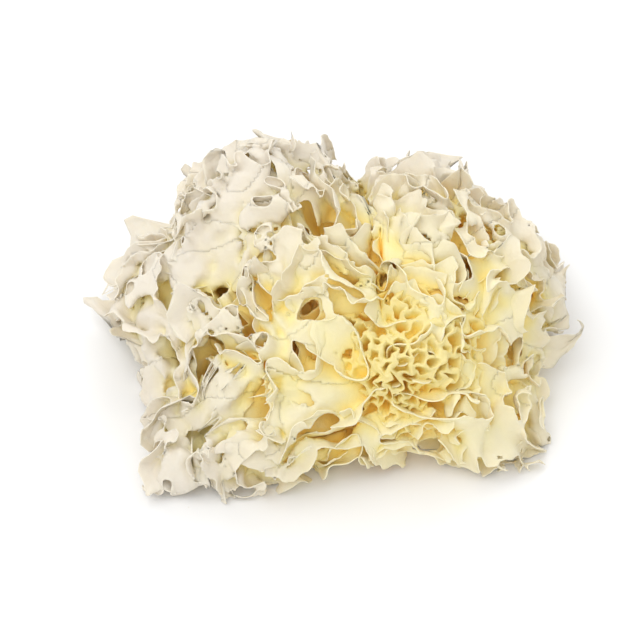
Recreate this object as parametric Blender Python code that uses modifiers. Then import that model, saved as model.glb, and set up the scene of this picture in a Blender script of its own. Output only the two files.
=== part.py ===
"""Snow fungus: a dried head of ruffled fronds that grow out from one honeycombed base.

The base is a squat lump. It was cut flat where it left its log, and that cut is the plane z = 0.
Its pitted face looks up and forward. The fronds leave the base in every free direction, nested
in one another, and each one widens and ruffles towards its free edge. Shapes are worked out in
millimetres round the core, a point inside the base, and put into the meshes in metres.
+Z is up, and the origin is the middle of the floor area that the whole head covers.
"""

import math

import bmesh
import bpy
import numpy as np

MM = 0.001

# Driving sizes, in millimetres. The head's middle is given from below the core
HEAD_HALF = (80.0, 66.0, 66.0)
HEAD_MIDDLE = (-22.0, 31.7, 0.0)
CORE_HEIGHT = 22.0
CORE_SHIFT = (19.276, -25.241)
BASE_HALF = (27.0, 20.0, 25.0)
BASE_SQUARENESS = 2.6
BASE_CLEARANCE = 0.3
FROND_GAP = 0.5
FROND_THICKNESS = 1.2
LEAST_FROND = 4.0
FLOOR_CLEARANCE = 0.9
FLOOR_SOFTNESS = 4.0

# Pits in the face of the base: how many, how far they spread round the face in degrees, how deep
PITS = 26
PIT_SPREAD = 66.0
PIT_FADE = (58.0, 78.0)
PIT_DEPTH = 5.5
PIT_WALL = (0.04, 0.24)
LUMP_HEIGHT = 0.6
LUMP_WAVELENGTH = 14.0
FACES_KEPT = 0.28

# How the fronds are arranged round the face of the base, in degrees
FACE_TILT = 47.0
FIRST_POLAR = 45.0
LAST_POLAR = 150.0
POLAR_STEP = 1.32
FIRST_AZIMUTH = 152.0
GOLDEN_ANGLE = 137.508
FROND_HALF_WIDTH = 25.0
ROOT_WIDTH = 0.45
LOWEST_SLOPE = -0.40

# The head's outline seen from the front of the face: degrees round it, and millimetres from the core
OUTLINE = (
    (0, 52), (15, 57), (26, 60), (32, 66), (40, 69), (48, 66), (62, 66), (75, 68), (88, 67),
    (97, 67), (102, 58), (107, 70), (114, 78), (122, 87), (130, 97), (140, 98), (150, 94), (158, 95),
    (168, 97), (176, 89), (188, 86), (199, 91), (206, 94), (215, 78), (224, 59), (237, 42),
    (251, 34), (268, 33), (285, 31), (300, 35), (314, 50), (327, 57), (345, 56),
)

# A frond's free edge: its corners, the notches between its lobes, and its small waves
CORNER_LOSS = 0.30
NOTCH_DEPTH = 0.10
EDGE_WAVE = 0.07
EDGE_WAVELENGTH = 24.0

# Turns that all the fronds share, so that they nest and never cross: the fronds are stirred round
# the core by two swirling flows, in steps. A slow wide one leans them over, and a narrower one folds
# them. Widths and strengths are in radians
SLOW_WIDTH = 1.1
SLOW_STRENGTH = 0.18
SLOW_START = (0.0, 1.0)
FOLD_WIDTH = 0.42
FOLD_STRENGTH = 0.08
FOLD_START = (0.05, 0.85)
SWIRL_STEPS = 6
SWIRL_DRIFT = 0.1

# Bends that all the fronds share: height and wavelength in millimetres, and where they set in
BENDS = ((4.5, 60.0), (1.3, 24.0))
BEND_START = (28.0, 70.0)

# Rows of faces along and across a frond, and the reach in millimetres that makes it a large one
LARGE_FROND = 55.0
ROWS_LARGE = (3, 11)
ROWS_SMALL = (3, 7)

CORE = np.array((0.0, 0.0, CORE_HEIGHT))
SHIFT = np.array((*CORE_SHIFT, 0.0))
RIGHT = np.array((1.0, 0.0, 0.0))
UP = np.array((0.0, math.sin(math.radians(FACE_TILT)), math.cos(math.radians(FACE_TILT))))
FACE = np.array((0.0, -math.cos(math.radians(FACE_TILT)), math.sin(math.radians(FACE_TILT))))


def clear_scene():
    for obj in list(bpy.data.objects):
        bpy.data.objects.remove(obj, do_unlink=True)


def ease(x, start, end):
    """0 before start, 1 after end, and smooth between them."""
    t = np.clip((x - start) / (end - start), 0.0, 1.0)
    return t * t * (3.0 - 2.0 * t)


def wobble(seed, waves=9):
    """A smooth random field in space: the sum of a few sine waves in random directions."""
    rng = np.random.default_rng(seed)
    ways = rng.normal(size=(waves, 3))
    ways /= np.linalg.norm(ways, axis=1)[:, None]
    ways *= rng.uniform(0.6, 1.4, size=(waves, 1))
    phases = rng.uniform(0.0, 2.0 * math.pi, waves)

    def field(points, wavelength):
        return np.sin(points @ (ways.T * 2.0 * math.pi / wavelength) + phases).sum(-1) / math.sqrt(waves)

    return field


def swirl(seed, waves=14):
    """A smooth random flow over the ways out from the core: each way turns, and none meets another."""
    rng = np.random.default_rng(seed)
    ways = rng.normal(size=(waves, 3))
    ways /= np.linalg.norm(ways, axis=1)[:, None]
    rates = rng.uniform(0.75, 1.3, size=(waves, 1))
    phases = rng.uniform(0.0, 2.0 * math.pi, waves)

    def flow(points, width):
        slope = np.cos(points @ ((ways * rates).T * 2.0 * math.pi / width) + phases) @ ways
        return np.cross(points, slope) / math.sqrt(waves / 2.0)

    return flow


EDGE_FIELD = wobble(71)
BEND_FIELDS = [wobble(seed, 7) for seed in (21, 22, 23)]
LUMP_FIELD = wobble(31)
SLOW_SWIRL = swirl(50)
FOLD_SWIRL = swirl(51)


def direction(polar, azimuth):
    """The way out from the core: polar is the angle from the face, azimuth runs round it from the right."""
    side = np.sin(polar)
    return (
        np.cos(polar)[..., None] * FACE
        + (side * np.cos(azimuth))[..., None] * RIGHT
        + (side * np.sin(azimuth))[..., None] * UP
    )


def angles(way):
    """Polar angle and azimuth of a way out from the core."""
    return np.arccos(np.clip(way @ FACE, -1.0, 1.0)), np.arctan2(way @ UP, way @ RIGHT)


def nearer(first, second):
    """The smaller of two distances, with a rounded corner where they are alike."""
    return (first**-8.0 + second**-8.0) ** (-1.0 / 8.0)


def dome_reach(way):
    """Millimetres from the core to the dome that holds the head, or to the floor where that is nearer."""
    half = np.array(HEAD_HALF)
    offset = CORE - np.array(HEAD_MIDDLE)
    a = ((way / half) ** 2).sum(-1)
    b = (offset * way / half**2).sum(-1)
    c = ((offset / half) ** 2).sum() - 1.0
    dome = (-b + np.sqrt(b * b - a * c)) / a
    floor = (CORE_HEIGHT - FLOOR_CLEARANCE) / np.maximum(-way[..., 2], 0.001)
    return nearer(dome, floor)


def outline_shares():
    """What the dome is multiplied by, round the face, so that the head has the outline above."""
    azimuths = np.radians(np.arange(0, 360, 3))
    polars = np.radians(np.arange(60, 150, 3))
    grid, tilt = np.meshgrid(azimuths, polars)
    shown = (dome_reach(direction(tilt, grid)) * np.sin(tilt)).max(axis=0)
    table = np.array(OUTLINE, float)
    return azimuths, np.interp(np.degrees(azimuths), table[:, 0], table[:, 1], period=360) / shown


OUTLINE_SHARES = outline_shares()


def reach(polar, azimuth):
    """Millimetres from the core to the outside of the head."""
    azimuths, shares = OUTLINE_SHARES
    share = np.interp(np.mod(azimuth, 2.0 * math.pi), azimuths, shares, period=2.0 * math.pi)
    return dome_reach(direction(polar, azimuth)) * (1.0 + (share - 1.0) * np.sin(polar) ** 2)


def base_reach(way):
    """Millimetres from the core to the plain skin of the base, before its pits and lumps."""
    share = (np.abs(way / np.array(BASE_HALF)) ** BASE_SQUARENESS).sum(-1)
    return share ** (-1.0 / BASE_SQUARENESS)


def grown(points):
    """The bends that all the fronds share, and the floor that they can't pass."""
    free = ease(np.linalg.norm(points - CORE, axis=-1), *BEND_START)[..., None]
    moved = points.copy()
    for height, wavelength in BENDS:
        bend = np.stack([field(points + 3.0 * wavelength, wavelength) for field in BEND_FIELDS], -1)
        moved += height * free * bend
    low = moved[..., 2] - FLOOR_CLEARANCE - FLOOR_SOFTNESS
    pressed = FLOOR_SOFTNESS * (np.exp(np.minimum(low / FLOOR_SOFTNESS, 0.0)) - 1.0)
    moved[..., 2] = FLOOR_CLEARANCE + FLOOR_SOFTNESS + np.where(low > 0.0, low, pressed)
    return moved


def stirred(way, depth):
    """The way out after both flows have turned it: not at all at the base, and most near the free edge."""
    slow = SLOW_STRENGTH / SWIRL_STEPS * ease(depth, *SLOW_START)[..., None]
    fold = FOLD_STRENGTH / SWIRL_STEPS * ease(depth, *FOLD_START)[..., None]
    drift = (1.0 + SWIRL_DRIFT * depth)[..., None]
    for _ in range(SWIRL_STEPS):
        way = way + slow * SLOW_SWIRL(way * drift, SLOW_WIDTH) + fold * FOLD_SWIRL(way * drift, FOLD_WIDTH)
        way = way / np.linalg.norm(way, axis=-1, keepdims=True)
    return way


def edge_share(v, frond):
    """How far out the free edge is, as a share of the head's reach: corners, notches and waves."""
    length, forks, seed = frond[2:]
    fork = np.abs(np.sin(forks * math.pi / 2.0 * (v + 0.2 * math.sin(seed)))) ** 8
    along = math.radians(FROND_HALF_WIDTH) * LARGE_FROND * v
    wave = EDGE_FIELD(np.stack([along, 0.0 * v + 40.0 * seed, 0.0 * v], -1), EDGE_WAVELENGTH)
    notched = length * (1.0 - CORNER_LOSS * np.abs(v) ** 6) * (1.0 - NOTCH_DEPTH * fork)
    return notched * (1.0 + EDGE_WAVE * wave)


def frond_points(u, v, frond):
    """The middle surface of a frond. u runs from root (0) to free edge (1), v across it from -1 to 1."""
    polar, azimuth = frond[:2]
    widening = ROOT_WIDTH + (1.0 - ROOT_WIDTH) * u**0.7
    around = azimuth + math.radians(FROND_HALF_WIDTH) * v * widening
    depth = u * edge_share(v, frond)
    way = stirred(direction(polar + 0.0 * around, around), depth)
    root = base_reach(way) + FROND_GAP
    out = root + (np.maximum(reach(*angles(way)), root + LEAST_FROND) - root) * depth
    return grown(CORE + out[..., None] * way)


def fronds():
    """Polar angle, azimuth, length, number of forks and seed of each frond, on a golden-angle spiral."""
    found = []
    for turn in range(int((LAST_POLAR - FIRST_POLAR) / POLAR_STEP)):
        polar = math.radians(FIRST_POLAR + POLAR_STEP * turn)
        azimuth = math.radians(FIRST_AZIMUTH + GOLDEN_ANGLE * turn)
        if direction(np.array(polar), np.array(azimuth))[2] < LOWEST_SLOPE:
            continue
        rng = np.random.default_rng(101 + len(found))
        length = rng.uniform(0.90, 1.03)
        forks = int(rng.integers(2, 4))
        found.append((polar, azimuth, length, forks, rng.uniform(0.0, 2.0 * math.pi)))
    return found


def material(name, colour, roughness):
    made = bpy.data.materials.new(name)
    made.use_nodes = True
    shader = made.node_tree.nodes["Principled BSDF"]
    shader.inputs["Base Color"].default_value = (*colour, 1.0)
    shader.inputs["Roughness"].default_value = roughness
    shader.inputs["Metallic"].default_value = 0.0
    made.diffuse_color = (*colour, 1.0)
    return made


def moved_by(mesh, rule):
    """Gives each vertex of the mesh the place that rule works out from where it is."""
    places = np.empty(len(mesh.vertices) * 3, np.float32)
    mesh.vertices.foreach_get("co", places)
    places = rule(places.reshape(-1, 3).astype(float)) + SHIFT
    mesh.vertices.foreach_set("co", (places * MM).astype(np.float32).ravel())
    mesh.update()


def make_frond(name, frond, look, collection):
    """A plane grid, carried onto the frond's surface and given its thickness."""
    large = reach(np.array(frond[0]), np.array(frond[1])) > LARGE_FROND
    rows = ROWS_LARGE if large else ROWS_SMALL
    mesh = bpy.data.meshes.new(name)
    grid = bmesh.new()
    bmesh.ops.create_grid(grid, x_segments=rows[0], y_segments=rows[1], size=1.0)
    grid.to_mesh(mesh)
    grid.free()
    moved_by(mesh, lambda flat: frond_points((flat[:, 0] + 1.0) / 2.0, flat[:, 1], frond))
    mesh.materials.append(look)
    obj = bpy.data.objects.new(name, mesh)
    collection.objects.link(obj)
    wall = obj.modifiers.new("thickness", "SOLIDIFY")
    wall.thickness = FROND_THICKNESS * MM
    wall.offset = 0.0


def pit_middles():
    """Directions of the pits in the face of the base, spread out by a golden-angle spiral."""
    count = np.arange(PITS)
    polar = math.radians(PIT_SPREAD) * np.sqrt((count + 0.4) / PITS) + 0.03 * np.sin(5.0 * count)
    return direction(polar, math.radians(GOLDEN_ANGLE) * count)


def base_points(ways):
    """The skin of the base: a rounded box, with pits where it faces out and low lumps elsewhere."""
    away = np.sort(np.arccos(np.clip(ways @ pit_middles().T, -1.0, 1.0)), axis=1)
    wall = 1.0 - ease(away[:, 1] - away[:, 0], *PIT_WALL)
    from_face = np.degrees(np.arccos(np.clip(ways @ FACE, -1.0, 1.0)))
    pitted = 1.0 - ease(from_face, *PIT_FADE)
    lumps = LUMP_HEIGHT * (1.0 + LUMP_FIELD(20.0 * ways, LUMP_WAVELENGTH))
    skin = base_reach(ways) - BASE_CLEARANCE - pitted * PIT_DEPTH * (1.0 - wall) - (1.0 - pitted) * lumps
    return CORE + skin[:, None] * ways


def make_base(look, collection):
    """A sphere pulled into the lump, and cut flat below."""
    mesh = bpy.data.meshes.new("base")
    ball = bmesh.new()
    bmesh.ops.create_icosphere(ball, subdivisions=5, radius=1.0)
    ball.to_mesh(mesh)
    moved_by(mesh, base_points)
    ball.clear()
    ball.from_mesh(mesh)
    whole = [*ball.verts, *ball.edges, *ball.faces]
    bmesh.ops.bisect_plane(ball, geom=whole, plane_co=(0, 0, 0), plane_no=(0, 0, 1), clear_inner=True)
    rim = [edge for edge in ball.edges if edge.is_boundary]
    bmesh.ops.contextual_create(ball, geom=rim)
    bmesh.ops.recalc_face_normals(ball, faces=ball.faces)
    ball.to_mesh(mesh)
    ball.free()
    mesh.materials.append(look)
    obj = bpy.data.objects.new("base", mesh)
    collection.objects.link(obj)
    fewer = obj.modifiers.new("fewer faces", "DECIMATE")
    fewer.ratio = FACES_KEPT


def main():
    clear_scene()
    collection = bpy.data.collections.new("snow_fungus")
    bpy.context.scene.collection.children.link(collection)
    make_base(material("fungus_base", (0.80, 0.58, 0.18), 0.55), collection)
    frond_look = material("fungus_frond", (0.87, 0.80, 0.58), 0.45)
    for number, frond in enumerate(fronds(), start=1):
        make_frond(f"frond_{number:02d}", frond, frond_look, collection)


main()
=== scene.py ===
# %% [markdown]
# # A dried snow fungus
# The snow fungus is a jelly fungus. It grows out of a log as one head of thin, wavy fronds, and it
# is cut off flat and dried whole. Close to the cut the fronds run together into a honeycomb.
#
# This notebook dresses a plain model of that head. The plain model has one solid for the base and
# one for each main frond. Here each of them gets its real thickness, its folds and its torn edge,
# and the crumpled membrane and the cells between them are added.

import math

import bpy
import numpy as np
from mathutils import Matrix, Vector


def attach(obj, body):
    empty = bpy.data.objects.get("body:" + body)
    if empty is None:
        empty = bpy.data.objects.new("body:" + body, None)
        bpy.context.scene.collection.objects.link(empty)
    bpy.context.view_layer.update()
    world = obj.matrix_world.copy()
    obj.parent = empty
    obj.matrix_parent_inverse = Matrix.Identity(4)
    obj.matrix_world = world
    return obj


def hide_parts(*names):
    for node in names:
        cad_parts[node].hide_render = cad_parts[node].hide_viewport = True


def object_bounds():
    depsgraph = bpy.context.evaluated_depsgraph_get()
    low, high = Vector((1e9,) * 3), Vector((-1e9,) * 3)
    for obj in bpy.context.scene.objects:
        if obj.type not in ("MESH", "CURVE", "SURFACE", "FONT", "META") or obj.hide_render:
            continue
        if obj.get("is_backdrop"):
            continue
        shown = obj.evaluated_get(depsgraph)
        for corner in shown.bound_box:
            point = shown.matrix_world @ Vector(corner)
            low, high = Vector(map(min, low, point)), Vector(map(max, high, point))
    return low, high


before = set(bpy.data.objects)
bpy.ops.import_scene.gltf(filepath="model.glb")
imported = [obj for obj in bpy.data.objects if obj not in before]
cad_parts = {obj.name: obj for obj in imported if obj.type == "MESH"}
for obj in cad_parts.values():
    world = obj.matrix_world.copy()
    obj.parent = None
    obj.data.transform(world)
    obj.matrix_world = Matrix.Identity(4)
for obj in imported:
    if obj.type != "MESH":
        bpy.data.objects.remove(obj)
plain_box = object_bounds()
print("plain model:", len(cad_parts), "solids, box", plain_box)

# %% [markdown]
# ## How the head has grown
# Every sheet in this head grows outwards from the base. So all shapes are worked out in the same
# way: as a direction out from a point inside the base, the core, and a distance along it. FACE is
# the way that the honeycomb looks, and RIGHT and UP are the two ways across it. The numbers are
# those of the plain model, in millimetres, so that each new piece lies where its solid lies. Only
# the outline is drawn anew, a few millimetres wider in some places and narrower in others, because
# a thin torn edge goes in and out more than a solid's rounded edge does.

# %% Sizes of the head, in millimetres
MM = 0.001
HEAD_HALF = np.array((80.0, 66.0, 66.0))
HEAD_MIDDLE = np.array((-22.0, 31.7, 0.0))
CORE_HEIGHT = 22.0
CORE = np.array((0.0, 0.0, CORE_HEIGHT))
SHIFT = np.array((19.276, -25.241, 0.0))
BASE_HALF = np.array((27.0, 20.0, 25.0))
BASE_SQUARENESS = 2.6
FLOOR_CLEARANCE = 0.9
FLOOR_SOFTNESS = 4.0
FACE_TILT = math.radians(47.0)
RIGHT = np.array((1.0, 0.0, 0.0))
UP = np.array((0.0, math.sin(FACE_TILT), math.cos(FACE_TILT)))
FACE = np.array((0.0, -math.cos(FACE_TILT), math.sin(FACE_TILT)))
OUTLINE = np.array((
    (0, 52), (9, 57), (15, 60), (26, 64), (33, 70), (41, 74), (48, 70), (62, 67), (75, 69), (88, 68),
    (93, 69), (96, 64), (99, 54), (102, 57), (105, 73), (110, 77), (114, 82), (122, 92), (130, 97),
    (140, 96), (150, 89), (158, 95), (168, 97), (174, 94), (180, 89), (188, 86), (199, 91), (206, 94),
    (215, 78), (224, 59), (237, 42), (251, 34), (268, 33), (285, 31), (300, 35), (314, 50), (327, 61),
    (338, 59), (348, 56),
), float)
print("the outline reaches", OUTLINE[:, 1].min(), "to", OUTLINE[:, 1].max(), "mm from the core")


# %% Directions and angles
def ease(x, start, end):
    """0 before start, 1 after end, and the curve 3t^2 - 2t^3 between them."""
    t = np.clip((x - start) / (end - start), 0.0, 1.0)
    return t * t * (3.0 - 2.0 * t)


def direction(polar, azimuth):
    """Cosine of the polar angle times FACE, plus its sine times the azimuth's mix of RIGHT and UP."""
    side = np.sin(polar)
    return (
        np.cos(polar)[..., None] * FACE
        + (side * np.cos(azimuth))[..., None] * RIGHT
        + (side * np.sin(azimuth))[..., None] * UP
    )


def angles(way):
    """Polar angle (from FACE) and azimuth (from RIGHT towards UP) of a direction."""
    return np.arccos(np.clip(way @ FACE, -1.0, 1.0)), np.arctan2(way @ UP, way @ RIGHT)


print("straight up is", np.degrees(angles(np.array((0.0, 0.0, 1.0)))[0]).round(1), "degrees from the face")


# %% How far the head reaches
def dome_reach(way):
    """Distance from the core to an ellipsoid or to the floor, whichever is nearer, with a rounded corner."""
    offset = CORE - HEAD_MIDDLE
    a = ((way / HEAD_HALF) ** 2).sum(-1)
    b = (offset * way / HEAD_HALF**2).sum(-1)
    c = ((offset / HEAD_HALF) ** 2).sum() - 1.0
    dome = (-b + np.sqrt(b * b - a * c)) / a
    floor = (CORE_HEIGHT - FLOOR_CLEARANCE) / np.maximum(-way[..., 2], 0.001)
    return (dome**-8.0 + floor**-8.0) ** (-1.0 / 8.0)


outline_azimuth = np.radians(np.arange(0, 360, 3))
grid, tilt = np.meshgrid(outline_azimuth, np.radians(np.arange(60, 150, 3)))
shown = (dome_reach(direction(tilt, grid)) * np.sin(tilt)).max(axis=0)
drawn = np.interp(np.degrees(outline_azimuth), OUTLINE[:, 0], OUTLINE[:, 1], period=360)
outline_share = drawn / shown


def reach(way):
    """Distance from the core to the outside of the head: the dome, widened or narrowed to the outline."""
    polar, azimuth = angles(way)
    full = 2.0 * math.pi
    share = np.interp(np.mod(azimuth, full), outline_azimuth, outline_share, period=full)
    return dome_reach(way) * (1.0 + (share - 1.0) * np.sin(polar) ** 2)


def base_reach(way):
    """Distance from the core to the skin of the base: a rounded box, |x/a|^n + |y/b|^n + |z/c|^n = 1."""
    return (np.abs(way / BASE_HALF) ** BASE_SQUARENESS).sum(-1) ** (-1.0 / BASE_SQUARENESS)


def from_core(points):
    """Distance from the core, and direction."""
    offset = points - CORE
    far = np.linalg.norm(offset, axis=-1)
    return far, offset / (far[..., None] + 1e-6)


print("reach to the left and to the right:", reach(-RIGHT).round(1), reach(RIGHT).round(1), "mm")

# %% [markdown]
# ## Folds that never cross
# A real frond grows faster at its free edge than at its root, so the edge has to fold. Its
# neighbours press against it, so they all fold together. Here the directions are stirred, as a
# liquid is: a swirling flow carries each direction sideways in small steps. Two directions that
# start apart stay apart, so the fronds nest and don't cut each other. Coarse swirls make the main
# folds, and finer ones, close to the free edge, make the frill.


# %% Random fields and the stirring flow
def wobble(seed, waves=9):
    """Sum of a few sine waves that run in random directions, scaled to a spread of about 0.7."""
    rng = np.random.default_rng(seed)
    ways = rng.normal(size=(waves, 3))
    ways /= np.linalg.norm(ways, axis=1)[:, None]
    ways *= rng.uniform(0.6, 1.4, size=(waves, 1))
    phases = rng.uniform(0.0, 2.0 * math.pi, waves)

    def field(points, wavelength):
        return np.sin(points @ (ways.T * 2.0 * math.pi / wavelength) + phases).sum(-1) / math.sqrt(waves)

    return field


def swirl(seed, waves=14):
    """Cross product of the direction with the slope of a random field: a flow that squeezes nothing."""
    rng = np.random.default_rng(seed)
    ways = rng.normal(size=(waves, 3))
    ways /= np.linalg.norm(ways, axis=1)[:, None]
    rates = rng.uniform(0.75, 1.3, size=(waves, 1))
    phases = rng.uniform(0.0, 2.0 * math.pi, waves)

    def flow(points, width):
        slope = np.cos(points @ ((ways * rates).T * 2.0 * math.pi / width) + phases) @ ways
        return np.cross(points, slope) / math.sqrt(waves / 2.0)

    return flow


SWIRLS = ((swirl(50), 1.1), (swirl(51), 0.42), (swirl(52), 0.17), (swirl(53), 0.085))
SWIRL_STEPS = 6
SWIRL_DRIFT = 0.1
FINER_REACH = (60.0, 105.0)


def stirred(way, depth, strengths):
    """In each step the direction moves by strength / steps times each swirl, and goes back to length 1.
    The two fine swirls get finer in angle where the head reaches further."""
    drift = (1.0 + SWIRL_DRIFT * depth)[..., None]
    finer = (1.0 + 0.3 * ease(reach(way), *FINER_REACH))[..., None]
    for _ in range(SWIRL_STEPS):
        move = 0.0
        for number, (flow, width) in enumerate(SWIRLS):
            scale = drift if number < 2 else drift * finer
            move = move + (strengths[number] / SWIRL_STEPS)[..., None] * flow(way * scale, width)
        way = way + move
        way = way / np.linalg.norm(way, axis=-1, keepdims=True)
    return way


print("swirls in degrees across:", [round(math.degrees(width)) for _, width in SWIRLS])

# %% [markdown]
# ## Bends and crumples
# As the head dries it shrinks unevenly. Slow bends carry everything along, and a sheet that
# shrinks between thicker ones crumples. Both are sums of sine waves in space that move a point
# sideways. They set in away from the base, and stay away from the floor. The same kind of sum,
# with waves that get shorter, later draws the torn edges.

# %% Bends and crumples
EDGE_FIELD = wobble(71)
TEAR_FIELD = wobble(72)
TOOTH_FIELD = wobble(73)
BEND_FIELDS = [wobble(seed, 7) for seed in (21, 22, 23)]
CRUMPLE_FIELDS = [wobble(seed, 9) for seed in (92, 93, 94)]
BENDS = ((4.5, 60.0), (1.3, 24.0))
BEND_START = (28.0, 70.0)
CREASED_BELOW = 16.0


def grown(points):
    """The points plus slow sine bends that set in away from the base, pressed up near the floor."""
    free = ease(np.linalg.norm(points - CORE, axis=-1), *BEND_START)[..., None]
    moved = points.copy()
    for height, wavelength in BENDS:
        bend = np.stack([field(points + 3.0 * wavelength, wavelength) for field in BEND_FIELDS], -1)
        moved += height * free * bend
    low = moved[..., 2] - FLOOR_CLEARANCE - FLOOR_SOFTNESS
    pressed = FLOOR_SOFTNESS * (np.exp(np.minimum(low / FLOOR_SOFTNESS, 0.0)) - 1.0)
    moved[..., 2] = FLOOR_CLEARANCE + FLOOR_SOFTNESS + np.where(low > 0.0, low, pressed)
    return moved


def torn_line(points, sizes):
    """Sum over three pairs (height, wavelength), from coarse to fine, of height times a random field."""
    fields = (EDGE_FIELD, TEAR_FIELD, TOOTH_FIELD)
    return sum(height * field(points, wavelength) for field, (height, wavelength) in zip(fields, sizes))


def crumple(points, sizes):
    """Sum over (height, wavelength) of height times three sine fields, growing with the distance from
    the core. The short ones are turned positive, |x| - 0.5, so that they meet in sharp creases."""
    far = np.linalg.norm(points - CORE, axis=-1, keepdims=True)
    total = 0.0
    for height, wavelength in sizes:
        waves = np.stack([field(points + 2.7 * wavelength, wavelength) for field in CRUMPLE_FIELDS], -1)
        total = total + height * (np.abs(waves) - 0.5 if wavelength < CREASED_BELOW else waves)
    return total * ease(far, 20.0, 60.0)


print("crumple at the left end:", crumple(CORE - 80.0 * RIGHT, ((3.0, 22.0),)).round(1), "mm")

# %% [markdown]
# ## From a sheet to a thin closed shell
# Each sheet is first a net of quads without thickness. A vertex normal is the mean of the normals of its
# faces. Two copies of the net, half the thickness up and down along the normals, with a strip of faces along
# every open edge, make a closed shell. A Solidify modifier does the same, but here the thickness has to vary
# from root to edge. The strips are flat shaded, which keeps the thin rim crisp. The value "rim", highest at
# a free edge, goes along for the material to read: it paints a highlight there, a paler colour that stands
# in for the light that comes through the thin edge.


# %% Closed shells
def closed_shell(name, upper, lower, quads, values):
    """The upper net, the lower net turned over, and a quad between them on each edge that has only one
    face."""
    count = len(upper)
    starts, ends = quads.ravel(), np.roll(quads, -1, axis=1).ravel()
    lone = ~np.isin(ends * count + starts, starts * count + ends)
    a, b = starts[lone], ends[lone]
    faces = np.concatenate([quads, quads[:, ::-1] + count, np.stack([b, a, a + count, b + count], 1)])
    made = bpy.data.meshes.new(name)
    made.vertices.add(2 * count)
    places = (np.concatenate([upper, lower]) + SHIFT) * MM
    made.vertices.foreach_set("co", places.astype(np.float32).ravel())
    made.loops.add(faces.size)
    made.loops.foreach_set("vertex_index", faces.astype(np.int32).ravel())
    made.polygons.add(len(faces))
    made.polygons.foreach_set("loop_start", np.arange(0, faces.size, 4, dtype=np.int32))
    made.polygons.foreach_set("use_smooth", np.arange(len(faces)) < 2 * len(quads))
    made.update(calc_edges=True)
    for label, value in values.items():
        stored = made.attributes.new(label, "FLOAT", "POINT")
        stored.data.foreach_set("value", np.concatenate([value, value]).astype(np.float32))
    piece = bpy.data.objects.new(name, made)
    bpy.context.scene.collection.objects.link(piece)
    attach(piece, "root")
    return piece


def thin_shell(name, points, quads, thickness, values):
    """A closed shell between the points plus and minus thickness / 2 times their normals."""
    a, b, c, d = (points[quads[:, corner]] for corner in range(4))
    across = np.repeat(np.cross(c - a, d - b), 4, axis=0)
    normal = np.stack([np.bincount(quads.ravel(), across[:, axis], len(points)) for axis in range(3)], 1)
    normal /= np.linalg.norm(normal, axis=1, keepdims=True) + 1e-9
    half = normal * thickness[:, None] / 2.0
    return closed_shell(name, points + half, points - half, quads, values)


def grid_quads(rows, columns):
    """Quads of a grid whose points are numbered row by row."""
    index = np.arange(rows * columns).reshape(rows, columns)
    return np.stack([index[:-1, :-1], index[1:, :-1], index[1:, 1:], index[:-1, 1:]], -1).reshape(-1, 4)


def trimmed(points, quads, keep):
    """Quads wholly outside (keep below 0) go. In quads across the border each outer corner moves to the
    mean of the places where keep is 0 on its lines to the inner corners. Returns points, quads and the
    old numbers."""
    inside = keep > 0.0
    quads = quads[inside[quads].any(axis=1)]
    total, count = np.zeros_like(points), np.zeros((len(points), 1))
    for a, b in ((a, b) for a in range(4) for b in range(4) if a != b):
        border = ~inside[quads[:, a]] & inside[quads[:, b]]
        outer, inner = quads[border, a], quads[border, b]
        share = (keep[inner] / (keep[inner] - keep[outer]))[:, None]
        np.add.at(total, outer, points[inner] + (points[outer] - points[inner]) * share)
        np.add.at(count, outer, 1.0)
    moved = np.where(count > 0.0, total / np.maximum(count, 1.0), points)
    used, number = np.unique(quads, return_inverse=True)
    return moved[used], number.reshape(-1, 4), used


# Width of the painted highlight along a free edge, in millimetres.
RIM_HIGHLIGHT_WIDTH = 0.4


def tapered(edge_mm):
    """Share of the full thickness: 0.65 at a free edge, 1 from 1.5 mm off it."""
    return 0.65 + 0.35 * ease(edge_mm, 0.0, 1.5)


def triangles(pieces):
    return 2 * sum(len(piece.data.polygons) for piece in pieces)


print("a grid of 3 by 4 points has", len(grid_quads(3, 4)), "quads")

# %% [markdown]
# ## Smooth lobes and deep hollows
# No two heads are alike, and this one is known by its large forms: some smooth lobes that face the
# eye, some hollows between them, and a few small holes that were torn near the rim. Each is given
# by its place across the face, in millimetres to the right of the core and up from it. The place
# in depth follows from the head's reach: a line comes in against FACE until it meets the head.
# A shallow hollow ends on a floor of membrane, so that light comes back out of it. Whatever part
# of a main frond would stick out in front of a smooth lobe is cut away.

# %% Lobes, hollows and holes
# Right, up, radius, and how far the lobe turns to the right and up
LOBES = np.array((
    (-57.0, 36.0, 15.0, -0.20, 0.15),
    (-47.0, 57.0, 11.0, 0.05, 0.20),
    (-75.0, 1.0, 10.0, -0.35, -0.10),
    (-38.0, 7.0, 8.0, -0.10, -0.05),
    (38.0, -24.0, 9.0, 0.35, -0.40),
    (33.0, -7.0, 7.0, 0.45, -0.10),
    (24.0, 40.0, 9.0, 0.25, 0.35),
    (-82.0, 27.0, 8.0, -0.45, 0.10),
    (-64.0, -20.0, 8.0, -0.30, -0.30),
    (-45.0, -31.0, 7.0, -0.10, -0.50),
    (44.0, 8.0, 8.0, 0.60, 0.00),
    (-10.0, -30.0, 6.0, 0.00, -0.50),
    (-54.0, -13.0, 12.0, -0.10, -0.15),
    (-30.0, 66.0, 7.0, 0.20, 0.20),
))
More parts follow.
